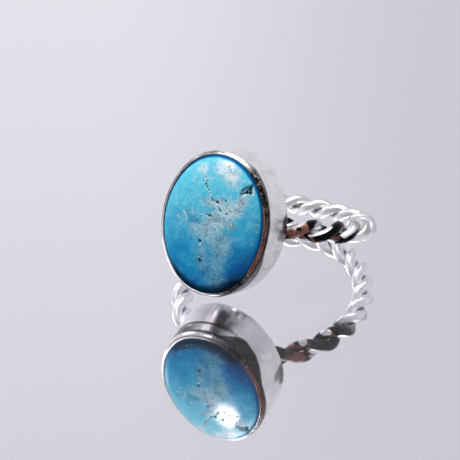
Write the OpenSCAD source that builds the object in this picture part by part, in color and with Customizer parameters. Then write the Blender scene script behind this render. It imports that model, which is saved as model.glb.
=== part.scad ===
// Silver ring with an oval stone in a tall plain cup, on a shank of two wires
// twisted together. It lies on its side: the foot of the cup and the back of
// the shank touch the table, so the stone looks up a little.

/* [Shank] */
// Inside diameter of the finger hole
finger_d = 17.3; // [15:0.1:21]
// Diameter over the two twisted strands
twist_d = 2.4; // [2:0.1:2.8]
// Turns that each strand makes on its way round the finger
twist_turns = 11; // [8:1:13]
// How much tighter the twist is at the back than at the front, in degrees of turn
twist_drift = 52; // [0:1:90]
// Clearance between the two strands along their length
strand_gap = 0.04; // [0.02:0.01:0.1]

/* [Cup] */
// Width of the cup across the finger
cup_w = 11.8; // [11:0.1:13]
// Length of the cup along the finger
cup_l = 14.9; // [14:0.1:17]
// Radius of the oval's narrow ends
cup_end_r = 5.0; // [4.6:0.1:5.3]
// Height of the cup, from the back of its plate to its lip
cup_h = 5.2; // [4.6:0.1:6]
// Thickness of the cup's wall
wall_t = 0.35; // [0.3:0.05:0.5]
// Thickness of the back plate
plate_t = 0.9; // [0.85:0.05:1.2]
// How far the shank is let into the back plate
seat_depth = 0.75; // [0.6:0.05:0.8]
// Height of the rounded shoulder that is pressed over the stone
shoulder_h = 0.65; // [0.4:0.05:0.9]
// How far the lip leans in from the outside of the wall
lip_in = 0.43; // [0.4:0.01:0.5]

/* [Stone] */
// Rise of the stone's crown above the lip
stone_rise = 1.45; // [0.8:0.05:2.5]
// Clearance between the stone and the silver
stone_gap = 0.06; // [0.04:0.01:0.1]

/* [Hidden] */

// The shank's centre line, its two strands and the circle that they wind on
shank_r = (finger_d + twist_d) / 2;
strand_r = twist_d / 4 - strand_gap / 4;
wind_r = twist_d / 2 - strand_r;
strand_rings = 144;
strand_sides = 12;

// The cup stands on the shank with the back of its plate this far from the ring's centre
plate_back = shank_r + twist_d / 2 - seat_depth;
// The stone starts to round over this far above the back of the plate
girdle_top = cup_h - 0.2;
girdle_foot = plate_t + stone_gap;
dome_h = cup_h + stone_rise - girdle_top;
stone_in = lip_in + stone_gap;
dome_rings = 9;
outline_points = 48;
shoulder_steps = 4;

// Lying on its side, the ring touches the table with the foot of the cup and
// with the two strands' lowest bends, a little to each side of its back
low_bend = 90 / (twist_turns + twist_drift * PI / 180);
reach_back = shank_r * cos(low_bend);
foot_to_back = plate_back + reach_back;
tilt = acos(twist_d / 2 / norm([cup_l / 2, foot_to_back])) - atan2(foot_to_back, cup_l / 2);
centre_z = reach_back * sin(tilt) + twist_d / 2;

// The origin is on the table, midway between the crown and the back of the shank
crown_y = (plate_back + girdle_top) * cos(tilt)
    + norm([dome_h * cos(tilt), (cup_l / 2 - stone_in) * sin(tilt)]);
back_y = (shank_r + wind_r) * cos(tilt) + strand_r;
centre_y = (crown_y - back_y) / 2;

// The oval is drawn with four arcs: two ends of radius end_r and two long sides
function side_r(a, b, end_r) =
    (pow(b - end_r, 2) + a * a - end_r * end_r) / (2 * (a - end_r));
function side_angle(a, b, end_r) = atan2(b - end_r, side_r(a, b, end_r) - a);

// A point of the oval, or of one drawn inside it by inset. way is the direction
// that the outline faces there, from 0 to 360 degrees.
function oval_point(a, b, end_r, inset, way) =
    let (turn = side_angle(a, b, end_r), long_r = side_r(a, b, end_r))
    let (quarter = floor(way / 90), part = way - 90 * quarter)
    let (angle = quarter % 2 == 0 ? part : 90 - part)
    let (sx = quarter == 0 || quarter == 3 ? 1 : -1, sy = quarter < 2 ? 1 : -1)
    angle <= turn
        ? [sx * (a - long_r + (long_r - inset) * cos(angle)), sy * (long_r - inset) * sin(angle)]
        : [sx * (end_r - inset) * cos(angle), sy * (b - end_r + (end_r - inset) * sin(angle))];

// The section of the wall, measured in from the outside and up from the back
module wall_section() {
    shoulder = [for (i = [0:shoulder_steps]) let (q = i * 90 / shoulder_steps)
        [lip_in * (1 - cos(q)), cup_h - shoulder_h * (1 - sin(q))]];
    polygon(concat(
        [[0, 0]],
        [for (p = shoulder) [-p[0], p[1]]],
        [[-lip_in, cup_h - wall_t / 2], [-wall_t, cup_h - shoulder_h], [-wall_t, 0]]
    ));
}

// One arc of the wall, from angle to angle round its own centre
module wall_arc(centre, r, from, to) {
    translate(centre)
        rotate([0, 0, from])
            rotate_extrude(angle = to - from, $fn = 180)
                translate([r, 0]) wall_section();
}

module cup_wall() {
    a = cup_w / 2;
    b = cup_l / 2;
    r = side_r(a, b, cup_end_r);
    turn = side_angle(a, b, cup_end_r);
    for (side = [0, 180]) {
        rotate([0, 0, side]) {
            wall_arc([a - r, 0], r, -turn, turn);
            wall_arc([0, b - cup_end_r], cup_end_r, turn, 180 - turn);
        }
    }
}

// The plate fills the foot of the wall and ends inside the wall's thickness
module back_plate() {
    linear_extrude(height = plate_t)
        polygon([for (i = [0:outline_points - 1])
            oval_point(cup_w / 2, cup_l / 2, cup_end_r, wall_t / 2, i * 360 / outline_points)]);
}

// Angle of a strand round the shank's centre line, at an angle round the
// finger that starts at the cup: both strands are outermost or innermost at
// the very back
function wind(around) = twist_turns * (around - 180) - twist_drift * sin(around);

// Directions out from the finger and along the shank
function outward(around) = [sin(around), -cos(around), 0];
function onward(around) = [cos(around), sin(around), 0];

function strand_centre(around, phase) =
    (shank_r + wind_r * cos(wind(around) + phase)) * outward(around)
    + [0, 0, wind_r * sin(wind(around) + phase)];

// A ring of points round the strand, square to its own run
function strand_ring(around, phase) =
    let (step = 0.5)
    let (run = strand_centre(around + step, phase) - strand_centre(around - step, phase))
    let (ahead = run / norm(run))
    let (level = onward(around) - (onward(around) * ahead) * ahead)
    let (up = cos(wind(around) + phase) * outward(around) + [0, 0, sin(wind(around) + phase)])
    let (flat = up - (up * ahead) * ahead)
    let (u = flat / norm(flat), v = cross(ahead, u))
    [for (i = [0:strand_sides - 1])
        let (q = i * 360 / strand_sides)
        strand_centre(around, phase) + strand_r * (cos(q) * u + sin(q) * v)];

module strand(phase) {
    points = [for (k = [0:strand_rings - 1]) each strand_ring(k * 360 / strand_rings, phase)];
    faces = [for (k = [0:strand_rings - 1], i = [0:strand_sides - 1])
        let (next = (k + 1) % strand_rings, side = (i + 1) % strand_sides)
        each [
            [k * strand_sides + i, next * strand_sides + i, next * strand_sides + side],
            [k * strand_sides + i, next * strand_sides + side, k * strand_sides + side]
        ]];
    polyhedron(points = points, faces = faces);
}

// Stands the cup up on the front of the shank, facing away from the finger
module on_front() {
    translate([0, -plate_back, 0]) rotate([90, 0, 0]) children();
}

// Lays the upright ring down on the table
module lying() {
    translate([0, centre_y, centre_z]) rotate([-tilt, 0, 0]) children();
}

// All the silver, soldered into one: wall, back plate and both strands
module silver_mount() {
    color("silver") lying() {
        on_front() {
            cup_wall();
            back_plate();
        }
        for (phase = [0, 180]) strand(phase);
    }
}

// Width of the stone at a height in its dome, as a share of its girdle
function dome_share(k) = cos(k * 90 / dome_rings);
function dome_height(k) = girdle_top + dome_h * sin(k * 90 / dome_rings);

module stone() {
    a = cup_w / 2 - stone_in;
    b = cup_l / 2 - stone_in;
    outline = [for (i = [0:outline_points - 1])
        oval_point(a, b, cup_end_r - stone_in, 0, i * 360 / outline_points)];
    rows = dome_rings + 1;
    points = concat(
        [for (p = outline) [p[0], p[1], girdle_foot]],
        [for (k = [0:dome_rings - 1], p = outline)
            [p[0] * dome_share(k), p[1] * dome_share(k), dome_height(k)]],
        [[0, 0, dome_height(dome_rings)]]
    );
    crown = outline_points * rows;
    faces = concat(
        [[for (i = [0:outline_points - 1]) i]],
        [for (k = [0:rows - 2], i = [0:outline_points - 1])
            let (side = (i + 1) % outline_points, low = k * outline_points, high = low + outline_points)
            each [[low + i, high + i, high + side], [low + i, high + side, low + side]]],
        [for (i = [0:outline_points - 1])
            let (last = crown - outline_points)
            [last + i, crown, last + (i + 1) % outline_points]]
    );
    color("deepskyblue") lying() on_front() polyhedron(points = points, faces = faces);
}

silver_mount();
stone();
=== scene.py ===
"""A silver ring with an oval turquoise in a tall plain cup, on a shank of two wires
twisted together. It lies on its side on a polished pale table top.

All pieces are modelled in millimetres. The cup, its plate and the stone are made face up:
x runs across the finger, y along the stone and z up to the crown. The wires and all the
finishes use the ring's own axes: the shank's circle lies in x and y, the cup is in front,
at -y, and z runs along the stone. lay_down() brings each piece to its place in the frame,
in metres."""
import math

import bpy
import numpy as np
from mathutils import Matrix, Vector


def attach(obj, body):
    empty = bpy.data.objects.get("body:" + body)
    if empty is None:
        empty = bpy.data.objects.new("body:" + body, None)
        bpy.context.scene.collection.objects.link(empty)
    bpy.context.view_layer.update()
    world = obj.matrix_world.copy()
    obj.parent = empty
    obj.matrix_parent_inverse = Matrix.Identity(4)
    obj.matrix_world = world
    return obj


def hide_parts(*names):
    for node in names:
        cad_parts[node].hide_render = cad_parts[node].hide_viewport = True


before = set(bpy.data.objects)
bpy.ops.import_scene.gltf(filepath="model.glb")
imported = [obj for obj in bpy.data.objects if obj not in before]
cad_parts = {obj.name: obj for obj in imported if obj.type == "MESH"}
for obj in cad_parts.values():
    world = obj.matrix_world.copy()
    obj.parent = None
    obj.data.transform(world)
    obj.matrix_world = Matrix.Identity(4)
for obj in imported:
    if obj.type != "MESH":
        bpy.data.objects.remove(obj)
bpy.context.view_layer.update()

# Sizes in millimetres, the same as in the part's source
FINGER_D = 17.3
TWIST_D = 2.4
TWIST_TURNS = 11
TWIST_DRIFT = math.radians(52)
STRAND_GAP = 0.04
CUP_W = 11.8
CUP_L = 14.9
CUP_END_R = 5.0
CUP_H = 5.2
WALL_T = 0.35
PLATE_T = 0.9
SEAT_DEPTH = 0.75
SHOULDER_H = 0.65
LIP_IN = 0.43
STONE_RISE = 1.45
STONE_GAP = 0.06
GIRDLE_DROP = 0.2

SHANK_R = (FINGER_D + TWIST_D) / 2
STRAND_R = TWIST_D / 4 - STRAND_GAP / 4
WIND_R = TWIST_D / 2 - STRAND_R
PLATE_BACK = SHANK_R + TWIST_D / 2 - SEAT_DEPTH
GIRDLE_TOP = CUP_H - GIRDLE_DROP
DOME_H = CUP_H + STONE_RISE - GIRDLE_TOP
STONE_IN = LIP_IN + STONE_GAP
HALF_W = CUP_W / 2
HALF_L = CUP_L / 2

# The back plate starts a little inside the wall's outside and a little above its foot
PLATE_IN = 0.03
PLATE_LIFT = 0.02

# How finely the pieces are divided, and how close two points lie that become one
WALL_STEPS = 160
STONE_STEPS = 150
DOME_RINGS = 28
STRAND_POINTS = 600
MERGE = 1e-4

# How deep the stone's pits are sunk, and the veins as a share of that
PIT_DEPTH = 0.22
VEIN_SHARE = 0.08

# How the ring lies: on the foot of the cup and the back of the shank
low_bend = math.radians(90 / (TWIST_TURNS + TWIST_DRIFT))
reach_back = SHANK_R * math.cos(low_bend)
foot_to_back = PLATE_BACK + reach_back
TILT = (math.acos(TWIST_D / 2 / math.hypot(HALF_L, foot_to_back))
        - math.atan2(foot_to_back, HALF_L))
CENTRE_Z = reach_back * math.sin(TILT) + TWIST_D / 2
crown_y = ((PLATE_BACK + GIRDLE_TOP) * math.cos(TILT)
           + math.hypot(DOME_H * math.cos(TILT), (HALF_L - STONE_IN) * math.sin(TILT)))
back_y = (SHANK_R + WIND_R) * math.cos(TILT) + STRAND_R
CENTRE_Y = (crown_y - back_y) / 2

MM = 0.001
LYING = (Matrix.Scale(MM, 4) @ Matrix.Translation((0, CENTRE_Y, CENTRE_Z))
         @ Matrix.Rotation(-TILT, 4, "X"))
ON_FRONT = Matrix.Translation((0, -PLATE_BACK, 0)) @ Matrix.Rotation(math.pi / 2, 4, "X")


def select_only(piece):
    bpy.ops.object.select_all(action="DESELECT")
    piece.select_set(True)
    bpy.context.view_layer.objects.active = piece


def begin_with_point(name, place):
    """Starts a piece as one point, open for editing, to be drawn out into a section or an outline."""
    bpy.ops.object.select_all(action="DESELECT")
    bpy.ops.mesh.primitive_plane_add(size=1, location=place)
    piece = bpy.context.object
    piece.name = name
    piece.data.name = name
    bpy.ops.object.transform_apply(location=True)
    bpy.ops.object.mode_set(mode="EDIT")
    bpy.ops.mesh.merge(type="CENTER")
    return piece


def draw_out(steps):
    """Draws what is selected out along the steps, each measured from the last."""
    for step in steps:
        bpy.ops.mesh.extrude_region_move(TRANSFORM_OT_translate={"value": step})


def side_arc(half_w, half_l, end_r):
    """The radius of an oval's long sides, and how far each turns from its middle to its end."""
    long_r = ((half_l - end_r) ** 2 + half_w ** 2 - end_r ** 2) / (2 * (half_w - end_r))
    return long_r, math.atan2(half_l - end_r, long_r - half_w)


def spin_round(half_w, half_l, end_r, steps):
    """Spins what is selected once round an oval of four arcs, from the middle of its right side."""
    long_r, turn = side_arc(half_w, half_l, end_r)
    side = half_w - long_r
    end = half_l - end_r
    arcs = [((side, 0, 0), turn), ((0, end, 0), math.pi - 2 * turn), ((-side, 0, 0), 2 * turn),
            ((0, -end, 0), math.pi - 2 * turn), ((side, 0, 0), turn)]
    for centre, angle in arcs:
        share = max(2, round(steps * angle / (2 * math.pi)))
        bpy.ops.mesh.spin(steps=share, angle=angle, center=centre, axis=(0, 0, -1))


def join_points():
    """Joins the points that meet."""
    bpy.ops.mesh.select_all(action="SELECT")
    bpy.ops.mesh.remove_doubles(threshold=MERGE)


def close_up():
    """Joins the points that meet and turns all faces outwards."""
    join_points()
    bpy.ops.mesh.normals_make_consistent(inside=False)


def choose_points(piece, wanted):
    """Selects just the points whose place wanted() accepts."""
    bpy.ops.mesh.select_all(action="DESELECT")
    bpy.ops.object.mode_set(mode="OBJECT")
    for point in piece.data.vertices:
        point.select = bool(wanted(point.co))
    bpy.ops.object.mode_set(mode="EDIT")
    bpy.ops.mesh.select_mode(type="VERT")


def apply_modifier(piece, kind, **settings):
    modifier = piece.modifiers.new(kind.lower(), kind)
    for name, value in settings.items():
        setattr(modifier, name, value)
    select_only(piece)
    bpy.ops.object.modifier_apply(modifier=modifier.name)


def round_off(piece, levels):
    apply_modifier(piece, "SUBSURF", levels=levels, render_levels=levels)


def lay_down(piece, finish, node, onto=LYING @ ON_FRONT):
    """Puts a finished piece in its place in the frame, with its place in its mesh."""
    select_only(piece)
    piece.matrix_world = onto @ piece.matrix_world
    bpy.ops.object.transform_apply(location=True, rotation=True, scale=True)
    bpy.ops.object.shade_smooth()
    piece.data.materials.clear()
    piece.data.materials.append(finish)
    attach(piece, "root")
    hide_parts(node)


def points_of(piece):
    return np.array([v.co for v in piece.data.vertices])


def keep_field(piece, name, values):
    """Keeps a value for each point of a piece, for its finish to read."""
    field = piece.data.attributes.new(name, "FLOAT", "POINT")
    field.data.foreach_set("value", values.astype(np.float32))


def distance_field(piece, name, points, strokes):
    """Keeps, for each point of a piece, how far it lies from the edge of the nearest stroke.

    A stroke is a run of (x, y, half width); inside it the distance is negative."""
    best = np.full(len(points), np.inf)
    for stroke in strokes:
        runs = list(zip(stroke, stroke[1:])) or [(stroke[0], stroke[0])]
        for (x0, y0, w0), (x1, y1, w1) in runs:
            run = np.array([x1 - x0, y1 - y0])
            # A stroke of one point has no length, and must not divide by nothing
            square = max(float(run @ run), 1e-9)
            off = points[:, :2] - np.array([x0, y0])
            part = np.clip(off @ run / square, 0, 1)
            away = np.linalg.norm(off - part[:, None] * run, axis=1) - (w0 + part * (w1 - w0))
            best = np.minimum(best, away)
    keep_field(piece, name, best)
    return best


class Flow:
    """One output of a finish's nodes. Sums written on it become Math nodes."""

    def __init__(self, finish, socket):
        self.finish = finish
        self.socket = socket

    def maths(self, operation, *values):
        return self.finish.node("ShaderNodeMath", {"operation": operation}, dict(enumerate(values)))

    def __add__(self, other):
        return self.maths("ADD", self, other)

    def __sub__(self, other):
        return self.maths("SUBTRACT", self, other)

    def __mul__(self, other):
        return self.maths("MULTIPLY", self, other)

    def __truediv__(self, other):
        return self.maths("DIVIDE", self, other)

    def __pow__(self, other):
        return self.maths("POWER", self, other)

    def __radd__(self, other):
        return self.maths("ADD", other, self)

    def __rsub__(self, other):
        return self.maths("SUBTRACT", other, self)

    def __rmul__(self, other):
        return self.maths("MULTIPLY", other, self)

    def size(self):
        """The value without its sign."""
        return self.maths("ABSOLUTE", self)

    def least(self, other):
        return self.maths("MINIMUM", self, other)

    def most(self, other):
        return self.maths("MAXIMUM", self, other)

    def step(self, low, high, to_low=0.0, to_high=1.0):
        """Smoothly from to_low, where this is low, to to_high, where it is high."""
        return self.finish.node(
            "ShaderNodeMapRange", {"interpolation_type": "SMOOTHSTEP"},
            {"Value": self, "From Min": low, "From Max": high, "To Min": to_low, "To Max": to_high})


class Finish:
    """A material that is put together node by node."""

    def __init__(self, name, tree=None):
        if tree is None:
            self.material = bpy.data.materials.new(name)
            self.material.use_nodes = True
            tree = self.material.node_tree
        self.tree = tree
        tree.nodes.clear()

    def node(self, kind, settings=None, sockets=None, output=0):
        """Any node: its type, its settings, then its sockets' values or links."""
        made = self.tree.nodes.new(kind)
        for name, value in (settings or {}).items():
            if name == "stops":
                ramp = made.color_ramp
                for place, _ in value[1:-1]:
                    ramp.elements.new(place)
                for element, (place, tint) in zip(ramp.elements, value):
                    element.position = place
                    element.color = tint
            else:
                setattr(made, name, value)
        for name, value in (sockets or {}).items():
            if isinstance(value, Flow):
                self.tree.links.new(value.socket, made.inputs[name])
            else:
                made.inputs[name].default_value = value
        return Flow(self, made.outputs[output]) if made.outputs else None

    def blend(self, amount, first, second):
        """Mixes two colours by an amount from 0 to 1."""
        return self.node("ShaderNodeMix", {"data_type": "RGBA"},
                         {0: amount, 6: first, 7: second}, output=2)

    def ring_place(self):
        """The place on the piece in millimetres, in the ring's own axes."""
        place = self.node("ShaderNodeTexCoord", output=3)
        return self.node("ShaderNodeMapping", {"vector_type": "TEXTURE"},
                         {"Vector": place, "Location": (0, CENTRE_Y * MM, CENTRE_Z * MM),
                          "Rotation": (-TILT, 0, 0), "Scale": (MM, MM, MM)})

    def axes(self, vector):
        """The three parts of a vector."""
        parts = self.node("ShaderNodeSeparateXYZ", sockets={0: vector})
        return [Flow(self, parts.socket.node.outputs[i]) for i in range(3)]

    def vector(self, x, y, z):
        return self.node("ShaderNodeCombineXYZ", sockets={0: x, 1: y, 2: z})

    def noise(self, vector, scale, detail=3.0, roughness=0.55, distortion=0.0):
        return self.node("ShaderNodeTexNoise", sockets={
            "Vector": vector, "Scale": scale, "Detail": detail, "Roughness": roughness,
            "Distortion": distortion})

    def ramp(self, amount, stops):
        """A grey that runs through the stops, each a (place, value)."""
        return self.node("ShaderNodeValToRGB", {"stops": [
            (place, (value, value, value, 1)) for place, value in stops]}, {"Fac": amount})

    def bump(self, height, strength, depth):
        """Fine relief, its depth in millimetres."""
        return self.node("ShaderNodeBump", sockets={
            "Strength": strength, "Distance": depth * MM, "Height": height})

    def field(self, name):
        """A value that keep_field keeps on the piece."""
        return self.node("ShaderNodeAttribute", {"attribute_name": name}, output=2)

    def finish_with(self, shader):
        """Ends in the given shader."""
        self.node("ShaderNodeOutputMaterial", sockets={"Surface": shader})
        return self.material

    def done(self, **sockets):
        """Ends in a Principled shader; a name's underscores stand for spaces."""
        return self.finish_with(self.node("ShaderNodeBsdfPrincipled", sockets={
            name.replace("_", " "): value for name, value in sockets.items()}))


def colour(red, green, blue):
    """A colour as it looks, 0 to 255, turned into the linear values that nodes take."""
    def straight(value):
        value /= 255
        return value / 12.92 if value <= 0.04045 else ((value + 0.055) / 1.055) ** 2.4
    return (straight(red), straight(green), straight(blue), 1.0)


def spot(across, up, centre, half_sizes):
    """Under 1 inside an oval spot."""
    return ((across - centre[0]) / half_sizes[0]) ** 2 + ((up - centre[1]) / half_sizes[1]) ** 2


# Round the oval, from the left side through its foot, right side and top back to the left: how
# black the lip is, and how many millimetres down the wall that reaches, each by share of the way
LIP_BLACK = [(0.0, 0.55), (0.06, 0.35), (0.1, 0.08), (0.25, 0.03), (0.275, 0.8), (0.32, 1.0),
             (0.665, 1.0), (0.685, 0.3), (0.7, 0.0), (0.752, 0.0), (0.775, 0.8), (0.86, 1.0),
             (0.95, 0.7), (1.0, 0.55)]
LIP_REACH = [(0.0, 0.3), (0.25, 0.3), (0.29, 0.85), (0.34, 1.0), (0.39, 0.75), (0.5, 0.6),
             (0.56, 0.8), (0.63, 1.0), (0.69, 0.9), (0.74, 0.45), (1.0, 0.3)]
# Marks on the right of the cup: places and half sizes, each (y, z) in the ring's own axes
BLACK_PATCH_AT = (-10.5, 0.75)
BLACK_PATCH_SIZE = (1.1, 1.0)
SCALE_AT = (-10.4, -0.25)
SCALE_SIZE = (2.3, 0.75)
SCUFF_GLINT_AT = (-11.6, -2.75)
SCUFF_GLINT_TURN = math.radians(218.17)
# A painted dark reflection under the foot: by share of the way round and height on the wall
PAINTED_DARK_PATCH_AT = (0.288, 2.4)
PAINTED_DARK_PATCH_SIZE = (1 / 60, 1.0)


def satin_silver():
    """Silver of the cup: polished on the wall, tarnished and scratched round the lip, where its black is
    partly a painted dark reflection.
    """
    f = Finish("satin_silver")
    place = f.ring_place()
    x, y, z = f.axes(place)
    height = -1 * y - PLATE_BACK
    inset = f.field("inset")
    clouds = f.noise(place, 0.5, detail=3)
    grain = f.noise(f.vector(x * 1.6, z * 1.6, height * 9), 1.0, detail=5, roughness=0.7)
    down_wall = height * 0.8 - inset
    brushed = f.noise(f.vector(x * 0.8, z * 0.8, down_wall * 13), 1.0, detail=6, roughness=0.75)
    specks = f.noise(place, 6.0, detail=4, roughness=0.8)
    scratched = brushed * 0.6 + specks * 0.4

    # Tarnish round the lip, its black partly a painted dark reflection
    round_it = z.maths("ARCTAN2", z, x) / (2 * math.pi) + 0.5
    blackness = f.ramp(round_it, LIP_BLACK)
    reach = f.ramp(round_it, LIP_REACH)
    # Under the right end of the foot the black, partly painted dark reflection, runs further down the wall
    reach = reach + round_it.step(0.27, 0.34) * round_it.step(0.46, 0.37) * 1.3
    frayed = (brushed - 0.5) * 0.5 + (clouds - 0.5) * 0.3
    band = (CUP_H - height + frayed - reach).step(0.12, -0.1)
    on_right = round_it.step(0.26, 0.29) * round_it.step(0.72, 0.66)
    on_left = 1 - on_right
    tarnish_and_dark_reflection = (band * blackness * (scratched.step(0.68, 0.54, 0.2, 1.0) * on_right
                                   + scratched.step(0.62, 0.44, 0.35, 1.0) * on_left)).least(1.0)
    # Brown wax between the lip and the stone on the right, and a dark groove beside it elsewhere
    inner_line = (inset - 0.17).size().step(0.08, 0.05) * z.step(2.2, 0.4)
    wax = ((inset.step(0.26, 0.31) + inner_line).least(1.0) * specks.step(0.6, 0.48)
           * round_it.step(0.36, 0.39) * round_it.step(0.595, 0.565))
    groove = (inset - 0.2).size().step(0.06, 0.03) * on_left * band
    groove = groove.most(inset.step(0.33, 0.37) * on_right * z.step(3.0, 4.0))
    # On the right of the cup, beside the joint: a black patch above, brown firescale below
    ragged = (specks - 0.5) * 2.5 + (clouds - 0.5) * 2.5 + (grain - 0.5) * 1.5
    black_patch = spot(y, z, BLACK_PATCH_AT, BLACK_PATCH_SIZE) + ragged * 0.6
    scale = spot(y, z, SCALE_AT, SCALE_SIZE) + ragged
    black_patch = black_patch.step(1.3, 0.7) * x.step(4.5, 5.2)
    scale = scale.step(1.5, 0.4) * x.step(4.5, 5.2)

    # Polished wall, then what darkens it
    streaks = f.noise(f.vector(x * 3, z * 3, height * 0.5), 1.0, detail=3)
    wall = f.blend(clouds.step(0.35, 0.7), colour(246, 244, 243), colour(228, 226, 226))
    wall = f.blend(streaks.step(0.5, 0.72, 0.0, 0.25), wall, colour(186, 183, 184))
    wall = f.blend(grain.step(0.6, 0.78, 0.0, 0.25), wall, colour(176, 173, 174))
    # Painted shade: the wall a little darker towards its lower right
    wall = f.blend(z.step(-0.5, -4.0, 0.0, 0.5) * x.step(3.0, 5.0), wall, colour(202, 199, 200))
    black = f.blend(scratched.step(0.42, 0.52), colour(40, 35, 35), colour(6, 4, 5))
    dull = f.blend(specks.step(0.4, 0.58), colour(64, 54, 52), colour(16, 13, 14))
    base = f.blend(tarnish_and_dark_reflection, wall, f.blend(on_right, dull, black))
    hatched = f.noise(f.vector(x * 2.5, z * 2.5, down_wall * 14), 1.0, detail=3, roughness=0.7)
    rubbed_and_highlight = hatched.step(0.53, 0.59) * tarnish_and_dark_reflection * round_it.step(0.57, 0.65, 0.12, 0.6) * on_right
    base = f.blend(rubbed_and_highlight, base, colour(206, 200, 198))
    base = f.blend(groove * 0.7, base, colour(60, 62, 66))
    # Under the foot of the oval, painted dark reflections between reflected lights: dull beside the lip on
    # the left, two dull lines and a dark patch
    low_line = (height - 3.15).size().step(0.25, 0.1)
    high_line = (height - 4.45).size().step(0.22, 0.1)
    corner = (height + ragged).step(3.1, 3.4) * height.step(4.65, 4.5) * round_it.step(0.235, 0.2)
    painted_dark_patch = (spot(round_it, height, PAINTED_DARK_PATCH_AT, PAINTED_DARK_PATCH_SIZE) + ragged * 2).step(1.2, 0.6)
    under = low_line.most(high_line).most(corner) * round_it.step(0.13, 0.16)
    under = under.most(painted_dark_patch) * round_it.step(0.33, 0.28)
    base = f.blend(under * 0.9, base, dull)
    firescale = f.blend(specks.step(0.4, 0.6), colour(86, 50, 46), colour(34, 18, 18))
    base = f.blend(scale * 0.9, base, firescale)
    base = f.blend(black_patch, base, colour(10, 7, 8))
    # A scuffed line low on the right of the wall, painted white as a painted glint
    from_y, from_z = y - SCUFF_GLINT_AT[0], z - SCUFF_GLINT_AT[1]
    along = from_y * math.cos(SCUFF_GLINT_TURN) + from_z * math.sin(SCUFF_GLINT_TURN)
    across = from_z * math.cos(SCUFF_GLINT_TURN) - from_y * math.sin(SCUFF_GLINT_TURN)
    scuff_glint = across.size().step(0.4, 0.0) * along.step(-0.3, 0.3) * along.step(2.2, 1.2)
    scuff_glint = scuff_glint * x.step(4.0, 4.5) * 0.55
    base = f.blend(scuff_glint, base, colour(255, 255, 255))
    base = f.blend(wax, base,
                   f.blend(specks.step(0.4, 0.58), colour(142, 84, 70), colour(70, 38, 34)))

    roughness = grain.step(0.3, 0.8, 0.16, 0.28) + band * brushed.step(0.3, 0.7, -0.02, 0.08)
    roughness = roughness.most(0.08) + scuff_glint * 0.5
    relief = grain * 0.3 + band * scratched - groove * 0.8
    return f.done(Base_Color=base, Metallic=1 - wax.most(scale).most(black_patch), Roughness=roughness,
                  Normal=f.bump(relief, strength=0.3, depth=0.03))


# A burnt black spot in the brown, where the near wires reach the cup
BURNT_AT = (6.6, -8.8, 0.22)


def twisted_silver():
    """Drawn wire: tarnished black and brown on the right beside the cup, with painted highlights and a
    painted grey sheen there; bright elsewhere, and painted near white underneath.
    """
    f = Finish("twisted_silver")
    place = f.ring_place()
    x, y, z = f.axes(place)
    out = (x * x + y * y) ** 0.5 - SHANK_R
    from_middle = (out * out + z * z) ** 0.5
    clouds = f.noise(place, 0.9, detail=3)
    specks = f.noise(place, 7.0, detail=4, roughness=0.7)
    near = (y + (clouds - 0.5) * 1.0).step(-1.7, -3.2) * x.step(-1.0, 3.0)
    recess = (from_middle + (specks - 0.5) * 0.25).step(0.7, 0.34) * (near * 0.85 + 0.05)
    ragged = (clouds - 0.5) * 0.5 + (specks - 0.5) * 0.5
    brown = (f.field("stain") + ragged).step(0.08, -0.08)
    off_x, off_y, off_z = x - BURNT_AT[0], y - BURNT_AT[1], (z - BURNT_AT[2]) * 1.5
    from_burnt = (off_x * off_x + off_y * off_y + off_z * off_z) ** 0.5
    brown = brown * (from_burnt + (specks - 0.5) * 0.4).step(0.22, 0.34) * near
    # Painted highlights: white along the near wires' strokes, and under them
    rubbed_and_highlight = (f.field("shine") + (specks - 0.5) * 0.15).step(0.06, -0.06) * near
    below = (f.field("glint") + (specks - 0.5) * 0.15).step(0.08, -0.08) * out.step(0.4, 0.2)
    rubbed_and_highlight = rubbed_and_highlight.most(below * near)
    # Painted sheen: a light grey beside the painted highlights
    painted_sheen = (f.field("gleam") + (specks - 0.5) * 0.3).step(0.08, -0.08) * near
    dark = f.blend(specks.step(0.4, 0.6), colour(13, 10, 11), colour(30, 25, 26))
    base = f.blend(y.step(3.0, -3.0) * x.step(-1.0, 3.0),
                   colour(206, 205, 206), colour(160, 156, 156))
    # Painted highlight: the wires' lower sides, seen in the mirror, painted near white
    base = f.blend(z.step(0.15, -0.55), base, colour(250, 250, 251))
    base = f.blend(near, base, dark)
    base = f.blend(brown, base,
                   f.blend(specks.step(0.38, 0.6), colour(138, 80, 68), colour(56, 32, 30)))
    base = f.blend(recess, base, colour(12, 11, 11))
    base = f.blend(y.step(-9.25, -9.6) * near, base, colour(14, 12, 12))
    base = f.blend(painted_sheen, base, colour(186, 183, 184))
    base = f.blend(rubbed_and_highlight, base, colour(236, 236, 238))
    roughness = specks.step(0.35, 0.75, 0.29, 0.37) - near * 0.08
    metallic = 1 - brown * (1 - rubbed_and_highlight.most(painted_sheen)) * 0.9
    return f.done(Base_Color=base, Metallic=metallic, Roughness=roughness,
                  Normal=f.bump(specks, strength=0.12, depth=0.03))


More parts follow.
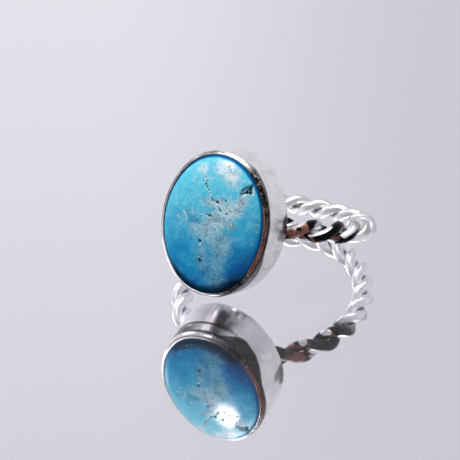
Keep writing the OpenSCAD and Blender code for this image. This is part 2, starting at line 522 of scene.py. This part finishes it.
def turquoise():
    """Polished turquoise with pale clouds, veins and pits: deep blue below and sky blue above, partly its
    own colour and partly painted light and shade, with painted shade along its edge and a painted glow
    round its highlight.
    """
    f = Finish("turquoise")
    place = f.ring_place()
    x, y, z = f.axes(place)
    wander = f.noise(place, 0.45, detail=4, roughness=0.55)
    mottle = f.noise(place, 1.3, detail=6, roughness=0.7)
    fine = f.noise(place, 6.0, detail=5, roughness=0.75)
    pit, vein, rust, cloud, shade, rim = (
        f.field(name) for name in ("pit", "vein", "rust", "cloud", "shade", "rim"))
    grit = f.noise(place, 3.0, detail=4, roughness=0.8)
    jagged = (fine - 0.5) * 0.3

    # Deeper blue towards the bottom and the lower right, lighter towards the top: partly the stone's own
    # colour, partly painted shade and light
    depth = (z * 0.05 - x * 0.012 + 0.58 + (wander - 0.5) * 0.5 + (mottle - 0.5) * 0.3
             - (x * 0.8 - z * 0.6).step(3.8, 6.0) * 0.29)
    base = f.node("ShaderNodeValToRGB", {"stops": [
        (0.0, colour(4, 62, 112)), (0.2, colour(6, 80, 130)), (0.38, colour(10, 104, 148)),
        (0.6, colour(34, 137, 166)), (0.8, colour(54, 155, 178)), (1.0, colour(76, 163, 178))]},
        {"Fac": depth})
    haze = ((mottle - 0.5) * 1.7 + (grit - 0.5) * 0.6 + 0.5 - cloud * 0.7).step(-0.1, 1.1)
    # Painted shade: the pale clouds, veil and specks are darker and weaker lower down on the dome
    chalk_shade_and_glow = f.blend(z.step(-3.0, 2.0), colour(98, 145, 158), colour(150, 172, 177))
    # Painted glow: near the top, round the highlight, the pale turns near white
    chalk_shade_and_glow = f.blend(z.step(4.0, 5.6), chalk_shade_and_glow, colour(204, 202, 204))
    base = f.blend(haze * z.step(-6.0, 1.0, 0.62, 0.88), base, chalk_shade_and_glow)
    veil = f.noise(place, 0.8, detail=6, roughness=0.75, distortion=0.6)
    base = f.blend(veil.step(0.5, 0.68, 0.0, 0.4) * z.step(-4.0, 2.0, 0.4, 1.0), base,
                   colour(122, 172, 186))
    murk = ((f.noise(place, 0.9, detail=4, roughness=0.6).step(0.5, 0.62) * haze)
            .most((shade + (mottle - 0.5) * 1.2 + (grit - 0.5) * 1.0).step(0.4, -0.3)))
    base = f.blend(murk * 0.5, base, colour(44, 88, 106))
    sparse = (z - x * 0.5).step(-3.0, 3.0, 0.08, 0.42)
    base = f.blend(grit.step(0.54, 0.64, 0.0, 0.45) * haze.most(sparse), base,
                   f.blend(z.step(-3.5, 1.0), colour(104, 142, 158), colour(170, 184, 184)))
    base = f.blend(fine.step(0.53, 0.62, 0.0, 0.5) * haze.most(sparse * 0.6), base,
                   f.blend(z.step(-3.5, 1.0), colour(120, 136, 144), colour(176, 164, 158)))
    base = f.blend(grit.step(0.44, 0.35, 0.0, 0.7) * (haze * 0.85 + 0.1), base, colour(36, 74, 92))
    base = f.blend(fine.step(0.46, 0.38, 0.0, 0.6) * (haze * 0.8 + 0.15), base, colour(34, 60, 74))
    base = f.blend((rust + jagged).step(0.06, -0.05) * 0.8, base, colour(96, 72, 66))
    broken = f.noise(place, 2.6, detail=2)
    pale = f.blend(broken.step(0.5, 0.58), colour(176, 178, 174), colour(76, 66, 62))
    thin = vein + jagged * 1.4 + (grit - 0.5) * 0.2
    base = f.blend(thin.step(0.035, -0.035) * broken.step(0.4, 0.5, 0.4, 0.9), base, pale)
    hollow = pit + jagged * 0.8 + (grit - 0.5) * 0.25
    base = f.blend(hollow.step(0.03, -0.02), base, colour(14, 9, 11))
    # Painted shade along the stone's edge under the lip: a dark crescent along the bottom, a thin dark blue
    # line elsewhere
    low = (x.size() * 0.25 - z).step(4.8, 6.2)
    edge = f.blend(rim.step(0.15, 0.55), colour(3, 16, 28), colour(6, 50, 78))
    base = f.blend((rim + (mottle - 0.5) * 0.6).step(0.82, 0.42) * low * 0.93, base, edge)
    base = f.blend(rim.step(0.24, 0.1) * (1 - low), base, colour(6, 80, 128))
    roughness = fine.step(0.35, 0.65, 0.5, 0.65)
    polish = (rim.step(0.15, 0.45) * z.step(-4.0, 3.0, 0.1, 0.85) * pit.step(-0.02, 0.04)
              * vein.step(-0.02, 0.05, 0.3, 1.0))
    relief = fine * 0.3 + mottle * 0.3 + grit * 0.2 - vein.step(0.06, -0.03) * 0.3
    return f.done(Base_Color=base, Roughness=roughness, Specular_IOR_Level=0.0, Coat_Weight=polish,
                  Coat_Roughness=0.18, Coat_IOR=1.5,
                  Normal=f.bump(relief, strength=0.3, depth=0.05))


def inset_field(piece):
    """Keeps how far each point of the cup, still face up, lies inside its outline."""
    x, y, _ = np.abs(points_of(piece)).T
    long_r, turn = side_arc(HALF_W, HALF_L, CUP_END_R)
    on_side = np.arctan2(y, x + long_r - HALF_W) < turn
    inset = np.where(on_side, long_r - np.hypot(x + long_r - HALF_W, y),
                     CUP_END_R - np.hypot(x, y - HALF_L + CUP_END_R))
    keep_field(piece, "inset", inset)


def make_cup_wall(finish):
    """The wall's section, each point an inset from the outside and a height, spun round the oval."""
    wall = begin_with_point("cup_wall", (HALF_W - WALL_T, 0, 0))
    shoulder = [(LIP_IN * (1 - math.cos(q)), CUP_H - SHOULDER_H * (1 - math.sin(q)))
                for q in (math.radians(7.5 * i) for i in range(13))]
    rounded_foot = [(0.08, 0), (0.02, 0.02), (0, 0.08)]
    outside = [(0, 0.5 + 0.5 * i) for i in range(8)]
    lip_edge = [(LIP_IN + 0.02, CUP_H - 0.05), (LIP_IN + 0.01, CUP_H - 0.14),
                (WALL_T + 0.03, CUP_H - 0.3)]
    inside = [(WALL_T, CUP_H - SHOULDER_H), (WALL_T, 3.0), (WALL_T, 1.5), (WALL_T, 0)]
    last = (WALL_T, 0)
    steps = []
    for inset, height in rounded_foot + outside + shoulder + lip_edge + inside:
        steps.append((last[0] - inset, 0, height - last[1]))
        last = (inset, height)
    draw_out(steps)
    bpy.ops.mesh.select_all(action="SELECT")
    spin_round(HALF_W, HALF_L, CUP_END_R, WALL_STEPS)
    close_up()
    bpy.ops.object.mode_set(mode="OBJECT")
    round_off(wall, 1)
    inset_field(wall)
    lay_down(wall, finish, "silver_mount")


def make_back_plate(finish):
    plate = begin_with_point("back_plate", (HALF_W - PLATE_IN, 0, PLATE_LIFT))
    spin_round(HALF_W - PLATE_IN, HALF_L - PLATE_IN, CUP_END_R - PLATE_IN, WALL_STEPS)
    close_up()
    bpy.ops.mesh.edge_face_add()
    draw_out([(0, 0, PLATE_T - PLATE_LIFT)])
    close_up()
    bpy.ops.object.mode_set(mode="OBJECT")
    apply_modifier(plate, "BEVEL", width=0.05, segments=2, limit_method="ANGLE")
    lay_down(plate, finish, "silver_mount")


# Right of the cup the twist lags a little behind the even one, as wires twisted by hand do
SLACK = math.radians(42)
SLACK_AT = math.radians(64)
SLACK_WIDE = math.radians(30)


def strand_line(phase):
    """The middle of one wire as it winds round the shank's circle, in the ring's own axes."""
    around = np.arange(STRAND_POINTS) * 2 * math.pi / STRAND_POINTS
    slack = SLACK * np.exp(-((around - SLACK_AT) / SLACK_WIDE) ** 2)
    wind = TWIST_TURNS * (around - math.pi) - TWIST_DRIFT * np.sin(around) - slack + phase
    out = SHANK_R + WIND_R * np.cos(wind)
    return np.column_stack((out * np.sin(around), -out * np.cos(around), WIND_R * np.sin(wind)))


# Strokes on the near wires, each a run of (way along the shank from the cup, z, half width)
# Painted highlights
SHINES = [
    [(5.2, 0.18, 0.24), (5.95, 0.54, 0.22), (6.6, 0.86, 0.18), (7.1, 1.08, 0.1)],
    [(7.78, -0.36, 0.22), (8.3, -0.02, 0.3), (8.95, 0.4, 0.33), (9.7, 0.95, 0.28)],
    [(11.5, -0.2, 0.25), (12.0, 0.24, 0.3), (12.5, 0.6, 0.3), (13.3, 1.1, 0.3)],
]
# A painted grey sheen beside the highlights
GLEAMS = [
    [(7.85, 0.34, 0.1), (8.3, 0.66, 0.28), (8.8, 1.0, 0.3)],
    [(11.7, 0.3, 0.1), (12.0, 0.7, 0.25), (12.4, 1.1, 0.3)],
]
# Painted highlights under the wires, seen in the mirror
GLINTS = [
    [(7.3, -1.0, 0.15), (7.7, -1.1, 0.3)],
    [(10.1, -0.95, 0.2), (10.6, -1.05, 0.3)],
    [(12.9, -1.0, 0.3), (13.7, -1.0, 0.35)],
]
STAINS = [
    [(4.9, -0.2, 0.4), (6.0, 0.1, 0.5), (6.8, 0.45, 0.4)],
    [(6.6, -0.6, 0.25), (7.25, -0.75, 0.18)],
    [(5.4, -0.5, 0.2), (6.6, -0.4, 0.3), (7.15, 0.05, 0.22)],
    [(10.45, -0.95, 0.15), (10.82, -0.63, 0.27), (11.1, -0.2, 0.15)],
    [(7.85, -0.72, 0.16), (8.15, -0.95, 0.14)],
    [(7.6, 0.26, 0.1)],
]


def make_strand(name, phase, finish):
    curve = bpy.data.curves.new(name, "CURVE")
    curve.dimensions = "3D"
    curve.bevel_depth = STRAND_R
    curve.bevel_resolution = 6
    line = strand_line(phase)
    run = curve.splines.new("POLY")
    run.points.add(len(line) - 1)
    for point, place in zip(run.points, line):
        point.co = (*place, 1)
    run.use_cyclic_u = True
    strand = bpy.data.objects.new(name, curve)
    bpy.context.scene.collection.objects.link(strand)
    select_only(strand)
    bpy.ops.object.convert(target="MESH")
    strand = bpy.context.object
    x, y, z = points_of(strand).T
    laid_flat = np.column_stack((np.arctan2(x, -y) * SHANK_R, z))
    for mark, strokes in (("shine", SHINES), ("gleam", GLEAMS), ("glint", GLINTS), ("stain", STAINS)):
        distance_field(strand, mark, laid_flat, strokes)
    lay_down(strand, finish, "silver_mount", onto=LYING)


# Strokes on the dome, face up, each a run of (x, y, half width)
PITS = [
    [(2.77, 3.73, 0.03), (3.0, 3.74, 0.05), (3.15, 3.7, 0.06), (3.43, 3.84, 0.07), (3.72, 3.89, 0.08),
     (3.86, 3.8, 0.07)],
    [(2.88, 3.42, 0.03), (3.0, 3.58, 0.04), (3.1, 3.68, 0.05)],
    [(2.93, 3.9, 0.04), (3.18, 4.2, 0.05), (3.44, 4.42, 0.06), (3.61, 4.6, 0.05)],
    [(3.86, 3.8, 0.08), (3.8, 4.05, 0.09), (3.75, 4.3, 0.1), (3.72, 4.6, 0.08), (3.76, 4.72, 0.02)],
    [(3.5, 3.98, 0.07), (3.62, 4.2, 0.06)],
    [(3.28, 3.92, 0.03), (3.46, 4.14, 0.05), (3.58, 4.4, 0.05)],
    [(3.42, 3.98, 0.02), (3.34, 4.22, 0.04)],
    [(-0.87, 4.07, 0.06), (-0.78, 3.95, 0.05)],
    [(-0.7, 3.85, 0.03), (-0.6, 3.72, 0.03)],
    [(-0.45, 3.54, 0.03), (-0.4, 3.44, 0.02)],
    [(-0.29, 3.2, 0.025), (-0.2, 3.1, 0.02)],
    [(0.06, 2.75, 0.04), (0.25, 2.59, 0.05), (0.45, 2.5, 0.04)],
    [(0.72, 2.46, 0.1), (0.84, 2.42, 0.07)],
    [(1.19, 2.86, 0.05)],
    [(1.5, 2.82, 0.04), (1.62, 2.67, 0.06)],
    [(0.96, 1.96, 0.02), (1.13, 1.78, 0.05), (1.25, 1.6, 0.05)],
    [(1.88, 1.5, 0.06)],
    [(-0.16, 1.08, 0.04), (0.08, 1.03, 0.06), (0.29, 0.98, 0.05)],
    [(3.0, 2.99, 0.06)],
    [(3.24, 1.94, 0.05)],
    [(-0.56, -1.7, 0.14)],
    [(-0.4, -3.58, 0.1), (-0.28, -3.66, 0.1)],
    [(3.83, -3.35, 0.05)],
    [(4.77, -2.79, 0.04)],
    [(3.03, -5.37, 0.05)],
    [(1.17, 6.11, 0.04)],
    [(1.46, 5.62, 0.03)],
]
VEINS = [
    [(-1.58, 5.65, 0.04), (-1.5, 5.3, 0.05), (-1.3, 5.0, 0.03), (-1.08, 4.76, 0.05), (-0.8, 4.62, 0.07),
     (-0.76, 4.4, 0.08), (-0.86, 4.15, 0.07), (-0.66, 3.84, 0.05), (-0.45, 3.54, 0.06),
     (-0.29, 3.24, 0.05), (-0.05, 2.95, 0.05), (0.0, 2.7, 0.05)],
    [(0.06, 2.6, 0.04), (0.34, 2.36, 0.06), (0.7, 2.2, 0.06), (0.95, 2.35, 0.04)],
    [(2.9, 3.28, 0.06), (3.17, 3.48, 0.07), (3.46, 3.6, 0.08), (3.78, 3.58, 0.08), (4.04, 3.74, 0.09),
     (4.02, 4.12, 0.09), (3.95, 4.52, 0.06)],
    [(1.14, 2.7, 0.04), (1.35, 2.72, 0.04), (1.5, 2.6, 0.04), (1.7, 2.55, 0.04)],
    [(1.6, 2.1, 0.08), (1.68, 1.88, 0.06)],
    [(2.27, 2.23, 0.05), (2.44, 1.97, 0.07), (2.26, 1.77, 0.05)],
    [(1.69, 1.32, 0.06), (1.98, 1.39, 0.05)],
    [(3.2, 2.6, 0.06), (3.48, 2.82, 0.05), (3.6, 3.04, 0.05)],
    [(-0.22, 0.9, 0.05), (0.07, 0.82, 0.07), (0.37, 0.93, 0.05)],
    [(-0.95, 1.02, 0.05), (-0.75, 0.99, 0.03), (-0.54, 1.14, 0.04)],
    [(-2.91, 0.96, 0.05), (-2.69, 0.89, 0.06), (-2.46, 1.0, 0.04), (-2.14, 1.14, 0.05), (-1.85, 1.2, 0.05),
     (-1.64, 1.1, 0.05), (-1.51, 1.04, 0.06)],
    [(-2.7, 0.85, 0.05), (-2.56, 0.62, 0.05), (-2.36, 0.43, 0.06), (-2.41, 0.14, 0.05), (-2.4, -0.11, 0.06),
     (-2.31, -0.28, 0.04)],
    [(-3.6, 0.45, 0.06), (-3.43, 0.36, 0.04), (-3.24, 0.23, 0.06)],
    [(-3.15, -0.3, 0.06), (-2.93, -0.43, 0.06)],
    [(-2.61, 4.81, 0.04), (-2.42, 4.72, 0.04), (-2.31, 4.54, 0.04), (-2.35, 4.24, 0.04)],
    [(-2.03, 3.88, 0.07)],
    [(-2.32, 2.19, 0.05), (-2.22, 2.0, 0.04)],
    [(-2.05, 2.91, 0.05)],
    [(-1.45, 2.86, 0.05)],
    [(0.27, 3.8, 0.06), (0.62, 3.8, 0.05)],
    [(-1.18, 5.99, 0.05), (-1.04, 5.89, 0.05)],
    [(-0.63, 5.8, 0.05), (-0.33, 5.77, 0.04), (-0.08, 5.69, 0.05)],
    [(-0.48, -1.99, 0.1)],
    [(-0.49, -3.29, 0.09)],
    [(4.95, 0.65, 0.07)],
    [(5.08, 0.16, 0.05)],
    [(1.86, -3.96, 0.06)],
    [(1.29, -4.76, 0.07)],
]
RUST = [
    [(2.4, 0.43, 0.07), (2.52, 0.2, 0.06), (2.56, 0.0, 0.05)],
    [(2.54, 0.63, 0.05), (2.75, 0.62, 0.06), (2.76, 0.29, 0.05)],
    [(2.92, 0.02, 0.05), (3.1, 0.22, 0.05), (3.21, 0.36, 0.05)],
    [(2.36, 0.95, 0.09)],
    [(1.62, 0.95, 0.07)],
    [(2.7, 1.4, 0.05)],
    [(1.66, -2.28, 0.06), (1.8, -2.4, 0.05)],
    [(1.26, -5.73, 0.07)],
    [(2.18, -5.82, 0.04)],
    [(1.3, 5.84, 0.06)],
]
SHADES = [
    [(3.12, 3.88, 0.15), (3.4, 4.15, 0.35), (3.6, 4.3, 0.3)],
    [(-0.62, 2.34, 0.15), (-0.2, 2.08, 0.2), (0.18, 1.99, 0.15)],
    [(-2.41, 0.74, 0.1), (-1.84, 0.45, 0.3), (-1.21, 0.25, 0.25)],
    [(0.45, 1.03, 0.12), (1.07, 0.95, 0.15)],
    [(1.3, -1.35, 0.15), (1.75, -1.2, 0.25), (2.0, -0.8, 0.2), (1.95, -0.4, 0.1)],
    [(-0.68, -3.1, 0.15), (-0.2, -3.6, 0.25), (0.2, -3.6, 0.1)],
    [(0.1, -4.6, 0.15), (0.75, -4.75, 0.15)],
]
CLOUDS_AND_GLOW = [
    [(-1.6, -0.6, 0.2), (-0.4, -0.8, 0.7), (0.5, -0.2, 0.9), (1.4, 0.9, 0.9), (2.6, 2.2, 0.7),
     (3.4, 3.2, 0.2)],
    [(0.4, -1.2, 0.8), (1.8, -1.6, 0.9), (1.6, -2.8, 0.7), (1.2, -4.2, 0.5), (1.7, -5.2, 0.4)],
    [(-0.2, -2.6, 0.4), (0.2, -4.0, 0.4)],
    [(0.8, -5.6, 0.3), (1.8, -5.9, 0.3)],
    [(-0.6, 2.4, 0.1), (1.2, 2.2, 0.4)],
    # Painted glow round the highlight near the top of the dome
    [(0.3, 5.9, 0.3), (1.0, 5.8, 0.5), (1.8, 5.2, 0.5), (2.1, 4.5, 0.3)],
    [(-1.6, 5.4, 0.1), (-0.9, 4.5, 0.1)],
]


def make_stone(finish):
    half_w = HALF_W - STONE_IN
    half_l = HALF_L - STONE_IN
    end_r = CUP_END_R - STONE_IN
    foot = PLATE_T + STONE_GAP
    side_row = 1.3
    stone = begin_with_point("turquoise_stone", (half_w, 0, foot))
    draw_out([(0, 0, side_row), (0, 0, side_row), (0, 0, GIRDLE_TOP - foot - 2 * side_row)])
    bpy.ops.mesh.select_all(action="SELECT")
    spin_round(half_w, half_l, end_r, STONE_STEPS)
    join_points()
    choose_points(stone, lambda co: co.z > GIRDLE_TOP - MERGE)
    size, height = 1.0, GIRDLE_TOP
    for k in range(1, DOME_RINGS):
        q = math.radians(90 * k / DOME_RINGS)
        rise = GIRDLE_TOP + DOME_H * math.sin(q) - height
        draw_out([(0, 0, rise)])
        grown = math.cos(q) / size
        bpy.ops.transform.resize(value=(grown, grown, 1), center_override=(0, 0, 0))
        size, height = math.cos(q), height + rise
    bpy.ops.object.mode_set(mode="OBJECT")
    round_off(stone, 2)
    bpy.ops.object.mode_set(mode="EDIT")
    bpy.ops.mesh.select_all(action="DESELECT")
    bpy.ops.mesh.select_non_manifold()
    bpy.ops.mesh.edge_face_add()
    close_up()
    bpy.ops.object.mode_set(mode="OBJECT")

    points = points_of(stone)
    pit = distance_field(stone, "pit", points, PITS)
    vein = distance_field(stone, "vein", points, VEINS)
    for mark, strokes in (("rust", RUST), ("cloud", CLOUDS_AND_GLOW), ("shade", SHADES)):
        distance_field(stone, mark, points, strokes)
    # About how far each point of the dome lies from the stone's edge
    share = np.hypot(points[:, 0] / half_w, points[:, 1] / half_l)
    keep_field(stone, "rim", (1 - share) * half_w)

    # Pits and veins are sunk from a little outside each stroke's edge to a little inside it
    on_dome = points[:, 2] > GIRDLE_TOP
    sunk = (np.clip((0.05 - pit) / 0.14, 0, 1)
            + VEIN_SHARE * np.clip((0.03 - vein) / 0.06, 0, 1)) * on_dome
    group = stone.vertex_groups.new(name="sunk")
    for i in np.flatnonzero(sunk > 0):
        group.add([int(i)], float(min(sunk[i], 1)), "REPLACE")
    apply_modifier(stone, "DISPLACE", strength=-PIT_DEPTH, mid_level=0, vertex_group="sunk")
    lay_down(stone, finish, "stone")


cup_silver = satin_silver()
wire_silver = twisted_silver()
make_cup_wall(cup_silver)
make_back_plate(cup_silver)
make_strand("strand_a", 0, wire_silver)
make_strand("strand_b", math.pi, wire_silver)
make_stone(turquoise())

# The table top: a mirror under a thin clear sheet, which the ring lies on. How thick the sheet
# is, in millimetres, and how wide the table is, in metres
SHEET_T = 0.69
TABLE_SIZE = 4


def lay_table(name, depth, finish):
    bpy.ops.object.select_all(action="DESELECT")
    bpy.ops.mesh.primitive_plane_add(size=TABLE_SIZE, location=(0, 0, -depth * MM))
    table = bpy.context.object
    table.name = name
    table.data.materials.append(finish)


def pale_mirror():
    f = Finish("pale_mirror")
    return f.done(Base_Color=colour(233, 232, 236), Metallic=0.985, Roughness=0.03)


def clear_sheet():
    """Lets nearly everything through and mirrors a little."""
    f = Finish("clear_sheet")
    clear = f.node("ShaderNodeBsdfTransparent")
    gloss = f.node("ShaderNodeBsdfGlossy", sockets={"Roughness": 0.02})
    return f.finish_with(f.node("ShaderNodeMixShader", sockets={0: 0.03, 1: clear, 2: gloss}))


lay_table("floor", 0, clear_sheet())
lay_table("mirror", SHEET_T, pale_mirror())


def direction(azimuth, elevation):
    """From the ring out to an azimuth, 0 in front of the stone, and an elevation."""
    return Vector((math.sin(azimuth) * math.cos(elevation), -math.cos(azimuth) * math.cos(elevation),
                   math.sin(elevation)))


def softbox(name, azimuth, elevation, away, size, power):
    """A round light at an azimuth and elevation about the ring, in degrees, facing it.

    Its distance and its width are in metres."""
    lamp = bpy.data.lights.new(name, "AREA")
    lamp.shape = "DISK"
    lamp.size = size
    lamp.energy = power
    light = bpy.data.objects.new(name, lamp)
    bpy.context.scene.collection.objects.link(light)
    towards = direction(math.radians(azimuth), math.radians(elevation))
    light.location = towards * away
    light.rotation_euler = towards.to_track_quat("Z", "Y").to_euler()


softbox("overhead", azimuth=160, elevation=80, away=0.3, size=0.2, power=0.45)
softbox("main_window", azimuth=-28, elevation=68, away=0.3, size=0.07, power=0.8)
softbox("left_window", azimuth=-100, elevation=30, away=0.3, size=0.127, power=0.2)


def light_room():
    """Pale walls, a little darker higher up, and a dimmer side where the camera stands."""
    world = bpy.data.worlds.new("studio")
    bpy.context.scene.world = world
    world.use_nodes = True
    room = Finish("studio", world.node_tree)
    x, y, z = room.axes(room.node("ShaderNodeTexCoord", output=0))
    upper = z.step(0.25, 0.6) * z.step(1.0, 0.75)
    aside = (x * 0.9 + y * 0.43).step(-0.06, 0.1) * y.step(0.0, 0.5)
    walls = room.blend(upper * 0.5, colour(247, 246, 251), colour(200, 199, 204))
    walls = room.blend(aside, walls, colour(220, 220, 226))
    front = (x * 0.5 - y * 0.86 + (z - 0.35) * 0.2).step(0.1, 0.6) * z.step(0.8, 0.5)
    shade = room.blend(front, walls, colour(200, 200, 205))
    light = room.node("ShaderNodeBackground", sockets={"Color": shade, "Strength": 1.0})
    room.node("ShaderNodeOutputWorld", sockets={"Surface": light})


light_room()

# The camera: where it looks, in millimetres, from what side and from how far; its focal length
# in pixels of the photo, and the photo's width
LOOK_AT = Vector((-1.331, -4.688, 5.058))
AZIMUTH = math.radians(25.459)
ELEVATION = math.radians(23.922)
ROLL = math.radians(0.751)
AWAY = 230.0
LENS_PIXELS = 2226.4
PHOTO_PIXELS = 460
SENSOR = 36

back = direction(AZIMUTH, ELEVATION)
right = Vector((math.cos(AZIMUTH), math.sin(AZIMUTH), 0))
up = back.cross(right)
rolled_right = right * math.cos(ROLL) + up * math.sin(ROLL)
rolled_up = up * math.cos(ROLL) - right * math.sin(ROLL)
optics = bpy.data.cameras.new("camera")
optics.sensor_width = SENSOR
optics.lens = LENS_PIXELS * SENSOR / PHOTO_PIXELS
optics.clip_start = MM
camera = bpy.data.objects.new("camera", optics)
bpy.context.scene.collection.objects.link(camera)
camera.matrix_world = Matrix.Translation((LOOK_AT + AWAY * back) * MM) @ Matrix(
    (rolled_right, rolled_up, back)).transposed().to_4x4()
bpy.context.scene.camera = camera
bpy.context.scene.view_settings.view_transform = "Standard"
